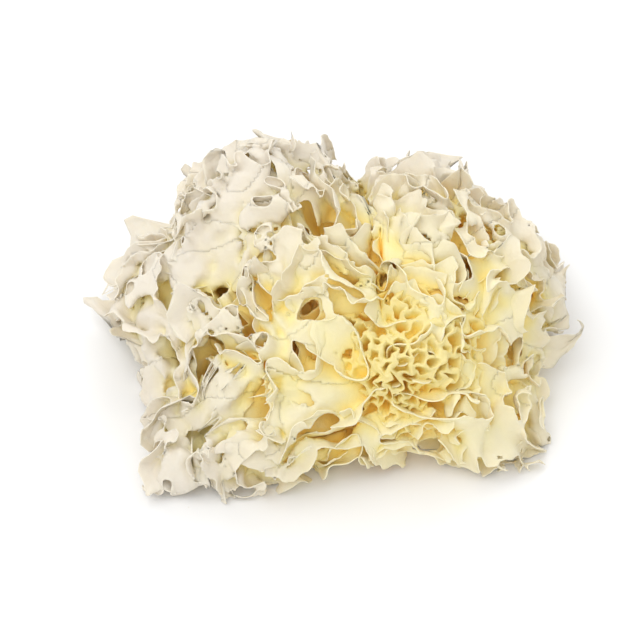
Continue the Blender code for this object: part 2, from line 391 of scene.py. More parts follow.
# Right, up, radius and depth
HOLLOWS = np.array((
    (-25.5, 48.0, 6.5, 12.0),
    (-26.0, 17.5, 3.6, 9.0),
    (-59.0, 6.0, 3.6, 12.0),
    (-60.5, -1.0, 3.4, 12.0),
    (-72.0, 20.0, 3.6, 12.0),
    (-43.0, -15.0, 4.5, 12.0),
    (-22.0, -17.0, 4.0, 12.0),
    (12.0, -25.0, 4.0, 12.0),
    (-67.0, 58.9, 1.5, 90.0),
    (-71.0, 51.3, 1.7, 90.0),
    (-75.0, 46.4, 1.3, 90.0),
    (-26.8, 65.4, 2.6, 90.0),
    (-18.8, 68.2, 1.7, 90.0),
    (49.5, 43.5, 1.4, 90.0),
    (-73.0, -48.0, 9.0, 90.0),
    (-60.0, -44.5, 7.0, 90.0),
))
LOBE_CRUMPLE = ((3.0, 24.0), (1.6, 12.5), (0.5, 6.0))
LOBE_CLEARANCE = 0.2
HOLLOW_RAGGED = 0.40
FLOOR_BELOW = 2.5
FLOOR_SPREAD = 1.9
DEEPEST_SHALLOW = 50.0


def on_head(right, up, share=0.9):
    """The first point within share times the head's reach on the line right RIGHT + up UP + along FACE."""
    along = np.linspace(95.0, -30.0, 626)[:, None]
    line = right * RIGHT + up * UP + along * FACE
    far = np.linalg.norm(line, axis=1)
    return line[(far < share * reach(line / far[:, None])).argmax()]


lobe_middles = np.array([on_head(right, up) for right, up in LOBES[:, :2]])
lobe_facings = FACE + LOBES[:, 3:4] * RIGHT + LOBES[:, 4:5] * UP
lobe_facings /= np.linalg.norm(lobe_facings, axis=1)[:, None]
hollow_tops = np.array([on_head(right, up, 1.0) @ FACE for right, up in HOLLOWS[:, :2]])
shallow = HOLLOWS[:, 3] < DEEPEST_SHALLOW
floors = hollow_tops - HOLLOWS[:, 3] - FLOOR_BELOW
floor_middles = HOLLOWS[:, :1] * RIGHT + HOLLOWS[:, 1:2] * UP + floors[:, None] * FACE
face_middles = np.concatenate([lobe_middles, floor_middles[shallow]])
face_facings = np.concatenate([lobe_facings, np.tile(FACE, (shallow.sum(), 1))])
face_radii = np.concatenate([LOBES[:, 2], FLOOR_SPREAD * HOLLOWS[shallow, 2]])
print(len(LOBES), "lobes,", len(HOLLOWS), "hollows, first lobe at", lobe_middles[0].round(1), "mm")


# %% Distance to the nearest hollow
def outside_hollows(points):
    """Millimetres to the nearest hollow's wavy side or floor, less than 0 inside it."""
    offset = points - CORE
    right, up, front = offset @ RIGHT, offset @ UP, offset @ FACE
    ragged = 1.0 + HOLLOW_RAGGED * EDGE_FIELD(points, 9.0)
    nearest = np.full(right.shape, 99.0)
    for (middle, height, radius, depth), top in zip(HOLLOWS, hollow_tops):
        side = np.hypot(right - middle, up - height) - radius * ragged
        nearest = np.minimum(nearest, np.maximum(side, top - depth - front))
    return nearest


def behind_lobes(points):
    """Millimetres to the nearest place in front of a smooth lobe, less than 0 there."""
    creased = points + crumple(points, LOBE_CRUMPLE) - CORE
    nearest = np.full(points.shape[:-1], 99.0)
    for middle, facing, radius in zip(lobe_middles, lobe_facings, LOBES[:, 2]):
        offset = creased - middle
        front = offset @ facing
        side = np.sqrt(np.maximum((offset**2).sum(-1) - front**2, 0.0)) - radius
        nearest = np.minimum(nearest, np.maximum(side, -LOBE_CLEARANCE - front))
    return nearest


ends = CORE - np.array(((90.0,), (30.0,))) * RIGHT
print("distance to a hollow at the left end and by the base:", outside_hollows(ends).round(1), "mm")

# %% [markdown]
# ## Main fronds
# A main frond is a fan of directions: it starts narrow on the base's skin, widens, and ends at a
# free edge with lobes and torn teeth. The fans are spread over the base by a golden-angle spiral,
# as the plain model's are. Depth 0 is the skin of the base and depth 1 the outside of the head.

# %% Where the main fronds stand
FIRST_POLAR = 45.0
LAST_POLAR = 150.0
POLAR_STEP = 1.32
FIRST_AZIMUTH = 152.0
GOLDEN_ANGLE = 137.508
FROND_HALF_WIDTH = 25.0
ROOT_WIDTH = 0.45
LOWEST_SLOPE = -0.40
LARGE_FROND = 55.0


def main_fronds():
    """Polar angle, azimuth, length, forks and seed of each main frond, along a golden-angle spiral."""
    found = []
    for turn in range(int((LAST_POLAR - FIRST_POLAR) / POLAR_STEP)):
        polar = math.radians(FIRST_POLAR + POLAR_STEP * turn)
        azimuth = math.radians(FIRST_AZIMUTH + GOLDEN_ANGLE * turn)
        if direction(np.array(polar), np.array(azimuth))[2] < LOWEST_SLOPE:
            continue
        rng = np.random.default_rng(101 + len(found))
        length = rng.uniform(0.90, 1.03)
        forks = int(rng.integers(2, 4))
        found.append((polar, azimuth, length, forks, rng.uniform(0.0, 2.0 * math.pi)))
    return found


fronds = main_fronds()
print(len(fronds), "main fronds")

# %% The surface of one main frond
FROND_LEAN, FROND_FOLD, FROND_FRILL, FROND_CRIMP = 0.18, 0.08, 0.045, 0.018
ROOT_THICK, THINNING = 0.75, 0.39
FROND_CRUMPLE = ((4.0, 24.0), (1.4, 12.0), (0.4, 6.0))
FROND_TEARS = ((0.07, 24.0), (0.045, 9.0), (0.02, 4.0))
CORNERS_SHORTER, NOTCH_SHORTER = 0.30, 0.10
MM_PER_DEPTH = 60.0
FRILL_MM, CRIMP_MM = 16.0, 6.5
LOWEST_SHEET = 0.6


def frond_edge(v, frond):
    """Length times what the corners, the notches between lobes, and three sizes of wave leave of it."""
    length, forks, seed = frond[2:]
    notch = np.abs(np.sin(forks * math.pi / 2.0 * (v + 0.2 * math.sin(seed)))) ** 8
    along = np.stack([math.radians(FROND_HALF_WIDTH) * LARGE_FROND * v, 0.0 * v + 40.0 * seed, 0.0 * v], -1)
    rounded = length * (1.0 - CORNERS_SHORTER * np.abs(v) ** 6)
    return rounded * (1.0 - NOTCH_SHORTER * notch) * (1.0 + torn_line(along, FROND_TEARS))


def frond_points(u, v, frond):
    """A fan of directions round the frond's azimuth, stirred; then out = base + (reach - base) u edge,
    bent and crumpled. u runs from root to edge, v across. Returns points and millimetres to the free
    edge."""
    polar, azimuth = frond[:2]
    around = azimuth + math.radians(FROND_HALF_WIDTH) * v * (ROOT_WIDTH + (1.0 - ROOT_WIDTH) * u**0.7)
    edge = frond_edge(v, frond)
    depth = u * edge
    edge_mm = MM_PER_DEPTH * (edge - depth)
    frill = FROND_FRILL * ease(u, 0.25, 1.0) * np.exp(-((edge_mm / FRILL_MM) ** 2))
    crimp = FROND_CRIMP * np.exp(-((edge_mm / CRIMP_MM) ** 2))
    strengths = (FROND_LEAN * ease(depth, 0.0, 1.0), FROND_FOLD * ease(depth, 0.05, 0.85), frill, crimp)
    way = stirred(direction(polar + 0.0 * around, around), depth, strengths)
    root = base_reach(way)
    out = root + (np.maximum(reach(way), root + 4.0) - root) * depth
    points = grown(CORE + out[..., None] * way)
    points -= crumple(points, FROND_CRUMPLE) * ease(points[..., 2:], 0.0, 5.0)
    points[..., 2] = np.maximum(points[..., 2], LOWEST_SHEET)
    return points.reshape(-1, 3), edge_mm.ravel()


print("edge of the first frond:", frond_edge(np.linspace(-1.0, 1.0, 5), fronds[0]).round(2))

# %% Build the main fronds
pieces = []
for number, frond in enumerate(fronds, start=1):
    large = reach(direction(np.array(frond[0]), np.array(frond[1]))) > LARGE_FROND
    rows, columns = (34, 96) if large else (24, 64)
    u = np.concatenate([np.linspace(0.0, 0.985, rows - 2), [0.995, 1.0]])[:, None]
    points, edge_mm = frond_points(u, np.linspace(-1.0, 1.0, columns)[None, :], frond)
    keep = np.minimum(outside_hollows(points), behind_lobes(points))
    thickness = np.repeat(ROOT_THICK - THINNING * ease(u, 0.0, 0.7), columns)
    thickness *= tapered(np.minimum(edge_mm, keep))
    points, quads, used = trimmed(points, grid_quads(rows, columns), keep)
    # Painted highlight: rim is highest at the free edge and makes the colour paler there.
    rim = np.exp(-np.maximum(np.minimum(edge_mm, keep)[used], 0.0) / RIM_HIGHLIGHT_WIDTH)
    piece = thin_shell(f"main_frond_{number:02d}", points, quads, thickness[used], {"rim": rim})
    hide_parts(f"frond_{number:02d}")
    pieces.append(piece)
print(len(pieces), "main fronds,", triangles(pieces), "triangles")

# %% [markdown]
# ## The crumpled membrane
# Between the main fronds one long thin membrane winds back and forth, branches and joins again,
# so that its free edge is a maze. A grid of rows and columns can't branch. A level surface can:
# where a random field in space is zero, there is a surface, and it never cuts itself, however
# much the space is crumpled first. Distances from the core are shrunk before the field is read, so
# that by the comb the surface stands upright and close, and further out it is loosely crumpled.
# A few millimetres below the free edge it is blended with a shell round the whole head: those
# cross films close the gaps, as they do in a real head that has dried shut. Near each lobe it
# gives way to a plane, which makes a smooth face. Only the outer 15 mm are kept, because nothing
# deeper can be seen.


# %% Zero surface of a field
def surface_net(value, corner, step):
    """One point for each grid cell that the zero surface passes through, at the mean of its crossings
    with the cell's edges, and one quad round each grid edge that it crosses. Returns points and quads."""
    solid = value > 0.0
    cells = np.array(value.shape) - 1
    crossings, quads = [], []
    for axis in range(3):
        second, third = (axis + 1) % 3, (axis + 2) % 3
        start = np.argwhere(solid != np.roll(solid, -1, axis))
        inner = start[:, axis] < cells[axis]
        for other in (second, third):
            inner &= (start[:, other] > 0) & (start[:, other] < cells[other])
        start = start[inner]
        end = start + np.eye(3, dtype=int)[axis]
        first, last = value[tuple(start.T)], value[tuple(end.T)]
        crossing = start.astype(float)
        crossing[:, axis] += first / (first - last)
        unit = np.eye(3, dtype=int)
        backs = [b * unit[second] + c * unit[third] for b, c in ((1, 1), (0, 1), (0, 0), (1, 0))]
        owners = [np.ravel_multi_index(tuple((start - back).T), tuple(cells)) for back in backs]
        quad = np.stack(owners, 1)
        turned = first <= 0.0
        quad[turned] = quad[turned, ::-1]
        quads.append(quad)
        crossings.append(np.repeat(crossing, 4, axis=0))
    owners, crossings = np.concatenate(quads), np.concatenate(crossings)
    used, number = np.unique(owners, return_inverse=True)
    number = number.reshape(-1, 4)
    points = np.stack([np.bincount(number.ravel(), crossings[:, axis]) for axis in range(3)], 1)
    return corner + points / np.bincount(number.ravel())[:, None] * step, number


def unpinched(value):
    """Where the signs on a grid face alternate, its corner nearest to zero changes sign, so that no
    edge of the surface gets four faces."""
    for axis in (0, 1, 2, 0, 1, 2, 0, 1, 2):
        second, third = (axis + 1) % 3, (axis + 2) % 3
        shifts = np.array(((0, 0), (1, 0), (1, 1), (0, 1)))
        corners = [np.roll(value, (-b, -c), (second, third)) for b, c in shifts]
        a, b, c, d = (corner > 0.0 for corner in corners)
        mixed = (a == c) & (b == d) & (a != b)
        spot = np.argwhere(mixed)
        least = np.stack([np.abs(corner[mixed]) for corner in corners], 1).argmin(axis=1)
        spot[:, (second, third)] += shifts[least]
        spot = np.unique(spot % np.array(value.shape), axis=0)
        value[tuple(spot.T)] *= -1.0
    return value


small = np.linspace(-1.0, 1.0, 9)
ball = sum(part**2 for part in np.meshgrid(small, small, small)) - 0.6
print("a test ball has", len(surface_net(unpinched(ball), np.zeros(3), 0.25)[1]), "quads")

# %% The membrane's field
MAZE_FIELD = wobble(91, 24)
HOLE_FIELD = wobble(95, 12)
LENGTH_FIELD = wobble(96)
MAZE_WIDTH = 20.0
MAZE_STRETCH = 0.30
MAZE_LOOSE = 0.50
LOOSE_FROM = 42.0
MEMBRANE_CRUMPLE = ((9.0, 48.0), (6.5, 26.0), (2.2, 14.0), (0.5, 6.5))
CROSS_DEPTH = 7.0
CROSS_SHARE, CROSS_SPREAD = 0.75, 3.5
CROSS_SCALE, LOBE_SCALE = 3.0, 4.0
CRUST = 15.0
CROSS_CRUMPLE = ((3.5, 22.0), (2.0, 11.0))
EDGE_SHARE, EDGE_UNEVEN, SHARE_OVER_COMB = 0.975, 0.08, 0.10
MEMBRANE_TEARS = ((1.4, 10.0), (0.7, 4.5), (0.2, 2.6))
HOLE_FROM, HOLE_SLOPE, HOLE_WIDTH = 1.75, 3.0, 11.0
ROOT_INSIDE = 2.0
THIN_FILM, THICKER_BELOW, THICKER_REACH = 0.36, 0.25, 15.0


def membrane_edge(points):
    """Distance from the core to the membrane's free edge, before tears: low over the comb, full at the
    sides."""
    _, way = from_core(points)
    root = base_reach(way)
    share = EDGE_SHARE + EDGE_UNEVEN * LENGTH_FIELD(points, 30.0)
    share *= SHARE_OVER_COMB + (1.0 - SHARE_OVER_COMB) * ease(angles(way)[0], 0.15, 0.98)
    return root + (reach(way) - root) * share


def maze(points):
    """A random field of the crumpled place, whose distance from the core is shrunk to the power
    MAZE_STRETCH. Near the free edge it is blended with the depth below it over CROSS_SCALE, and near a
    lobe or a hollow's floor with the distance from its plane over LOBE_SCALE."""
    far, way = from_core(points + crumple(points, MEMBRANE_CRUMPLE))
    spread = 50.0 * (far / 50.0) ** MAZE_STRETCH + MAZE_LOOSE * np.maximum(far - LOOSE_FROM, 0.0)
    value = MAZE_FIELD(way * spread[..., None], MAZE_WIDTH)
    creased = points + crumple(points, CROSS_CRUMPLE)
    below = membrane_edge(creased) - np.linalg.norm(creased - CORE, axis=-1) - CROSS_DEPTH
    cross = CROSS_SHARE * np.exp(-((below / CROSS_SPREAD) ** 2))
    value = value * (1.0 - cross) + cross * below / CROSS_SCALE
    creased = points + crumple(points, LOBE_CRUMPLE) - CORE
    for middle, facing, radius in zip(face_middles, face_facings, face_radii):
        offset = creased - middle
        near = np.exp(-((offset**2).sum(-1) / radius**2) ** 2)
        value = value * (1.0 - near) + near * (offset @ facing) / LOBE_SCALE
    return value


def membrane_left(points):
    """Millimetres to the membrane's nearest edge: the torn free edge, the inside of the crust, the base,
    the floor, a hollow or a hole."""
    far, way = from_core(points)
    edge = membrane_edge(points) + 1.0 + torn_line(points, MEMBRANE_TEARS) - far
    hole = HOLE_SLOPE * (HOLE_FROM - HOLE_FIELD(points, HOLE_WIDTH))
    crust = far - membrane_edge(points) + CRUST
    root = far - base_reach(way) + ROOT_INSIDE
    floor = points[..., 2] - LOWEST_SHEET
    return np.minimum.reduce([edge, hole, crust, root, floor, outside_hollows(points)])


print("field by the base and at the left end:", maze(CORE - np.array(((28.0,), (85.0,))) * RIGHT).round(2))

# %% Net over the whole head
NET_STEP = 1.1
LOWEST = np.array((-104.0, -40.0, 0.0))
HIGHEST = np.array((62.0, 106.0, 70.0))
sizes = ((HIGHEST - LOWEST) / NET_STEP).astype(int) + 1
spots = LOWEST + np.stack(np.meshgrid(*[np.arange(size) for size in sizes], indexing="ij"), -1) * NET_STEP
points, quads = surface_net(unpinched(maze(spots)), LOWEST, NET_STEP)
print("the net has", len(points), "points and", len(quads), "quads")


# %% Smooth and trim the net
def smoothed(points, quads, rounds):
    """Every point moves half way to the mean of its neighbours, a few times."""
    edges = np.concatenate([quads[:, (0, 1)], quads[:, (1, 2)], quads[:, (2, 3)], quads[:, (3, 0)]])
    edges = np.unique(np.sort(edges, axis=1), axis=0)
    count = np.bincount(edges.ravel(), minlength=len(points))[:, None]
    for _ in range(rounds):
        total = np.zeros_like(points)
        np.add.at(total, edges[:, 0], points[edges[:, 1]])
        np.add.at(total, edges[:, 1], points[edges[:, 0]])
        points = 0.5 * points + 0.5 * total / count
    return points


def part_sizes(count, quads):
    """Number of points in each point's connected part: every point takes its neighbours' lowest number
    over and over, until nothing changes."""
    label = np.arange(count)
    edges = np.concatenate([quads[:, (0, 1)], quads[:, (1, 2)], quads[:, (2, 3)]])
    while True:
        first, second = label[edges.T]
        fresh = label.copy()
        for spot in (edges[:, 0], edges[:, 1], first, second):
            np.minimum.at(fresh, spot, np.minimum(first, second))
        fresh = fresh[fresh]
        if (fresh == label).all():
            return np.bincount(label, minlength=count)[label]
        label = fresh


SMALLEST_PART = 400
MEMBRANE_PARTS = 5
points = smoothed(points, quads, 1)
keep = membrane_left(points)
points, quads, used = trimmed(points, quads, keep)
keep = np.maximum(keep[used], 0.0)
quads = quads[part_sizes(len(points), quads)[quads[:, 0]] > SMALLEST_PART]
print("after trimming:", len(quads), "quads")

# %% Build the membrane in five parts
above = np.maximum(np.linalg.norm(points - CORE, axis=1) - base_reach(from_core(points)[1]), 0.0)
thickness = (THIN_FILM + THICKER_BELOW * np.exp(-above / THICKER_REACH)) * tapered(keep)
# Painted highlight: rim is highest at the free edge and makes the colour paler there.
rim = np.exp(-keep / RIM_HIGHLIGHT_WIDTH)
middles = points[quads].mean(axis=1)
azimuth = np.mod(angles(from_core(middles)[1])[1] + 0.35 * EDGE_FIELD(middles, 26.0), 2.0 * math.pi)
rank = azimuth.argsort().argsort()
for number in range(MEMBRANE_PARTS):
    used, own = np.unique(quads[rank * MEMBRANE_PARTS // len(rank) == number], return_inverse=True)
    name, own = f"membrane_{number + 1}", own.reshape(-1, 4)
    piece = thin_shell(name, points[used], own, thickness[used], {"rim": rim[used]})
    pieces.append(piece)
    print(piece.name, triangles([piece]), "triangles")

# %% [markdown]
# ## The honeycomb
# In the middle of the face the frond bases have grown together, and what is left between them are
# small round pits. They could be cut out one by one, but their walls have soft, rounded joints.
# So the whole comb is one surface over the base's skin, whose height depends on the gap between
# the nearest pit middle and the next ones. A soft minimum over the neighbours rounds the corners.

# %% Pit middles
LOW_FIELD = wobble(81)
HIGH_FIELD = wobble(82)


def pit_ways(spacing, widest, jitter, seed):
    """Directions on a golden-angle spiral round the face, each one moved a little at random."""
    rng = np.random.default_rng(seed)
    count = int(2.0 * math.pi * (1.0 - math.cos(widest)) / (0.866 * spacing**2))
    number = np.arange(count)
    polar = np.arccos(1.0 - (1.0 - math.cos(widest)) * (number + 0.5) / count)
    way = direction(polar, math.radians(GOLDEN_ANGLE) * number)
    way += rng.uniform(-jitter, jitter, way.shape) * spacing
    return way / np.linalg.norm(way, axis=1)[:, None]


pits = pit_ways(0.18, math.radians(82.0), 0.34, 5)
print(len(pits), "pits")


# %% Comb surface
COMB_RADIUS = 25.0
COMB_UNDERSIDE = 9.0
PIT_NARROWER = (-1.3, 0.7)
PIT_FLOOR = (-4.5, -1.0)
WALL_WIDER = (-0.05, 0.30)
WALL_FALL = (0.10, 0.75)
WALL_TOP, OUTER_HIGHER = 1.5, 3.0
SHARPNESS = 1.3


def comb_surface(size, widest):
    """On a flat map of the face (polar angle times cosine and sine of the azimuth), the height over the
    base's skin falls from the wall's top to the pit's floor. It falls with the distance from the wall's
    middle, which is half the soft minimum of how much further away the other pit middles are than the
    nearest. Each pit has its own floor and width."""
    side = np.linspace(-widest, widest, size)
    across, up = (part.ravel() for part in np.meshgrid(side, side, indexing="ij"))
    polar = np.hypot(across, up)
    way = direction(polar, np.arctan2(up, across))
    rng = np.random.default_rng(8)
    away = np.arccos(np.clip(way @ pits.T, -1.0, 1.0)) * COMB_RADIUS
    away += rng.uniform(*PIT_NARROWER, len(pits))
    own, nearest = away.argmin(axis=1), away.min(axis=1)
    away[np.arange(len(away)), own] = 1e3
    gap = -np.log(np.exp(-SHARPNESS * (away - nearest[:, None])).sum(axis=1)) / (2.0 * SHARPNESS)
    floors = rng.uniform(*PIT_FLOOR, len(pits))[own]
    wider = rng.uniform(*WALL_WIDER, len(pits))[own]
    place = way * COMB_RADIUS
    top = WALL_TOP + OUTER_HIGHER * ease(polar, 0.6, 1.1)
    top = top + 1.6 * LOW_FIELD(place, 14.0) + 0.3 * HIGH_FIELD(place, 2.5)
    height = floors + (top - floors) * (1.0 - ease(gap, WALL_FALL[0] + wider, WALL_FALL[1] + wider))
    lean = 0.004 * (height + 6.0)
    upper_way = stirred(way, 0.0 * height, (0.0 * height, 0.0 * height, lean, lean / 2.0))
    upper = CORE + (base_reach(upper_way) + height)[:, None] * upper_way
    lower = CORE + (base_reach(way) - COMB_UNDERSIDE)[:, None] * way
    for net in (upper, lower):
        net[:, 2] = np.maximum(net[:, 2], 0.1)
    # The third value is a painted highlight: highest along the wall tops, where the comb is painted paler.
    return upper, lower, 0.6 * (1.0 - ease(gap, 0.1, 0.5))


COMB_SIZE = 220
upper, lower, rim = comb_surface(COMB_SIZE, 1.12)
comb = closed_shell("honeycomb", upper, lower, grid_quads(COMB_SIZE, COMB_SIZE), {"rim": rim})
print("honeycomb:", triangles([comb]), "triangles")

# %% [markdown]
# ## The base
# Under the comb is the solid lump that sat on the log, with the flat cut that the head rests on.
# It is a ball of directions carried to a rounded box, and every point that would come out below
# the cut is lifted onto it.


# %% Base
SKIN_INSIDE, SKIN_LUMPS = 0.8, 0.5
SUNK_UNDER_COMB = 7.0


def base_surface(rows, columns):
    """The base's skin less low lumps, deeper under the comb, and z no lower than 0. The first and last
    rows are single points, so the ball is closed at its poles."""
    polar = np.linspace(0.0, math.pi, rows)[1:-1, None]
    azimuth = np.linspace(0.0, 2.0 * math.pi, columns, endpoint=False)[None, :]
    ring = direction(polar + 0.0 * azimuth, azimuth + 0.0 * polar).reshape(-1, 3)
    way = np.concatenate([FACE[None], ring, -FACE[None]])
    sunk = 1.0 - ease(angles(way)[0], math.radians(56.0), math.radians(70.0))
    far = base_reach(way) - SKIN_INSIDE - SKIN_LUMPS * LOW_FIELD(way * 20.0, 6.0) - SUNK_UNDER_COMB * sunk
    points = CORE + far[:, None] * way
    points[:, 2] = np.maximum(points[:, 2], 0.0)
    index = np.arange(len(ring)).reshape(rows - 2, columns) + 1
    beside = np.roll(index, -1, axis=1)
    quads = np.stack([index[:-1], index[1:], beside[1:], beside[:-1]], -1).reshape(-1, 4)
    top = np.stack([0 * index[0], index[0], beside[0]], -1)
    bottom = np.stack([0 * index[0] + len(way) - 1, beside[-1], index[-1]], -1)
    return points, quads.tolist() + top.tolist() + bottom.tolist()


points, faces = base_surface(90, 180)
made = bpy.data.meshes.new("base_skin")
made.from_pydata(((points + SHIFT) * MM).tolist(), [], faces)
made.shade_smooth()
base = bpy.data.objects.new("base_skin", made)
bpy.context.scene.collection.objects.link(base)
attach(base, "root")
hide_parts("base")
print("base:", triangles([base]), "triangles, lowest point", points[:, 2].min(), "mm")

# %% [markdown]
# ## How much light reaches each fold
# The outside of a dried head is bleached to ivory, and its gaps glow golden, because the light in them has
# come through several films and each one takes out some of the blue. That glow is painted into the colour as
# painted light. To know where to paint it, the head is cut into small cubes, and the film in each cube is
# added up. From each cube rays go out in many directions. The more film a ray crosses, the less light comes
# in along it. The value that each vertex carries for the material adds to that painted glow a share for
# lying in the middle of the head, and one for lying close to the base, which make it yellower there.


# %% Light that comes in through the films
CUBE = 2.5
RAYS = 60
RAY_STEPS = 14
FILM_SHADE = 0.55


def film_in_cubes(pieces):
    """Film area in each cube over the area of one of its sides: about 1 where one sheet crosses it."""
    size = ((HIGHEST - LOWEST) / CUBE).astype(int) + 1
    film = np.zeros(size.prod())
    for piece in pieces:
        area = np.empty(len(piece.data.polygons))
        middle = np.empty(3 * len(area))
        piece.data.polygons.foreach_get("area", area)
        piece.data.polygons.foreach_get("center", middle)
        cube = ((middle.reshape(-1, 3) / MM - SHIFT - LOWEST) / CUBE).astype(int)
        cube = np.clip(cube, 0, size - 1)
        film += np.bincount(np.ravel_multi_index(tuple(cube.T), tuple(size)), area / 2.0, len(film))
    return film.reshape(size) / (CUBE * MM) ** 2


def light_in_cubes(film):
    """Mean over rays of exp(-shade times the film summed along the ray), rays from above counting more."""
    margin, size = RAY_STEPS + 2, film.shape
    padded = np.pad(film, margin)
    number = np.arange(RAYS)
    height = 1.0 - (2.0 * number + 1.0) / RAYS
    turn = math.radians(GOLDEN_ANGLE) * number
    flat = np.sqrt(1.0 - height**2)
    rays = np.stack([flat * np.cos(turn), flat * np.sin(turn), height], 1)
    weights = 0.4 + 0.6 * ease(height, -0.4, 0.4)
    light = 0.0
    for ray, weight in zip(rays, weights / weights.sum()):
        crossed = 0.0
        for step in range(1, RAY_STEPS + 1):
            a, b, c = np.round(ray * (step + 0.5)).astype(int) + margin
            crossed = crossed + padded[a : a + size[0], b : b + size[1], c : c + size[2]]
        light = light + weight * np.exp(-FILM_SHADE * crossed)
    return light


def sampled(grid, points):
    """Value of the grid of cubes at each point, blended between the eight nearest cube middles."""
    place = (points - LOWEST) / CUBE - 0.5
    place = np.clip(place, 0.0, np.array(grid.shape) - 1.001)
    corner = place.astype(int)
    share = place - corner
    total = 0.0
    for a in (0, 1):
        for b in (0, 1):
            for c in (0, 1):
                step = np.array((a, b, c))
                part = np.where(step == 1, share, 1.0 - share).prod(axis=1)
                total = total + part * grid[tuple((corner + step).T)]
    return total


light = light_in_cubes(film_in_cubes(pieces + [comb, base]))
print("light in the cubes from", light.min().round(3), "to", light.max().round(3))

# %% Golden where little light comes in
DIM_SHARE, MIDDLE_SHARE, BASE_SHARE = 0.76, 0.32, 0.14
DIM_LIGHT = (0.06, 0.46)
MIDDLE_REACH = (30.0, 84.0)
BASE_GLOW = 14.0
for piece in pieces + [comb, base]:
    place = np.empty(3 * len(piece.data.vertices))
    piece.data.vertices.foreach_get("co", place)
    place = place.reshape(-1, 3) / MM - SHIFT
    far, way = from_core(place)
    dim = 1.0 - ease(sampled(light, place), *DIM_LIGHT)
    above = np.maximum(far - base_reach(way), 0.0)
    # Painted light: the dim share paints the golden glow of light that has come through many films; the
    # middle and base shares make the colour yellower towards the middle and the base.
    golden = DIM_SHARE * dim + MIDDLE_SHARE * (1.0 - ease(far, *MIDDLE_REACH))
    golden += BASE_SHARE * np.exp(-above / BASE_GLOW)
    stored = piece.data.attributes.new("tint_and_painted_glow", "FLOAT", "POINT")
    stored.data.foreach_set("value", golden.astype(np.float32))
    if piece.name in ("main_frond_01", "membrane_3", "honeycomb"):
        print(piece.name, "golden:", np.percentile(golden, (5, 25, 50, 75, 95)).round(2))

# %% [markdown]
# ## Dried jelly
# The fresh fungus is a clear jelly. Drying leaves a thin, horny film with a matt, faintly wrinkled skin. The
# film scatters light inside itself, so it looks milky rather than clear, and light passes from fold to fold.
# The outside has bleached to ivory. Deep down, where the film is thick and the light has passed through many
# folds, it looks golden. That golden is painted into the colour: the colour follows the value of tint and
# painted glow that each vertex carries, shifted by soft clouds about 12 mm across, and the thin rim is
# painted palest, a painted highlight for the light that comes through the thin edge. The wrinkles are about
# 4 mm apart, with finer ones between them, and the rare specks of bark in the comb are about 3 mm apart at
# the closest.


# %% Colours and nodes
def linear(colour):
    """sRGB hex to linear: c / 12.92 below 0.04045, else ((c + 0.055) / 1.055) ^ 2.4."""
    parts = [int(colour[i : i + 2], 16) / 255.0 for i in (1, 3, 5)]
    return tuple(c / 12.92 if c <= 0.04045 else ((c + 0.055) / 1.055) ** 2.4 for c in parts) + (1.0,)


def add(tree, kind, settings=None, links=None):
    """A node of this kind, with settings (attributes, or sockets by name or number) and links into its
    sockets."""
    node = tree.nodes.new(kind)
    for key, value in (settings or {}).items():
        if isinstance(key, str) and hasattr(node, key):
            setattr(node, key, value)
        else:
            node.inputs[key].default_value = value
    for key, source in (links or {}).items():
        tree.links.new(source, node.inputs[key])
    return node


# Both ramps end in bright, saturated golden at 1: painted glow that lifts the shaded gaps, as light passed
# from film to film would.
FROND_COLOURS = (
    (0.00, "#E2DACB"),
    (0.20, "#E6DDC3"),
    (0.40, "#EDE4BA"),
    (0.60, "#F3E6A6"),
    (0.80, "#FAE592"),
    (1.00, "#FDDF78"),
)
COMB_COLOURS = (
    (0.00, "#E2D8AC"),
    (0.40, "#E8D78C"),
    (0.70, "#EFDA7C"),
    (1.00, "#F1D166"),
)
CLOUDS_PER_METRE = 80.0
WRINKLES_PER_METRE = 260.0
SPECKS_PER_METRE = 330.0
# Pale colour of the painted highlight on thin edges and wall tops.
RIM_HIGHLIGHT_COLOUR = "#F9F3DE"
SPECK_COLOUR = "#8A5A1E"
RIM_HIGHLIGHT_SHARE = 0.2
CLOUD_SHARE = 0.3
WRINKLE_STRENGTH, WRINKLE_HEIGHT = 0.4, 0.0008
FILM_IOR = 1.45
SCATTERED, SCATTER_REACH = 0.4, 0.0005
SCATTER_BY_COLOUR = (1.0, 0.95, 0.85)
print("ivory in linear light:", [round(part, 3) for part in linear(FROND_COLOURS[0][1])])


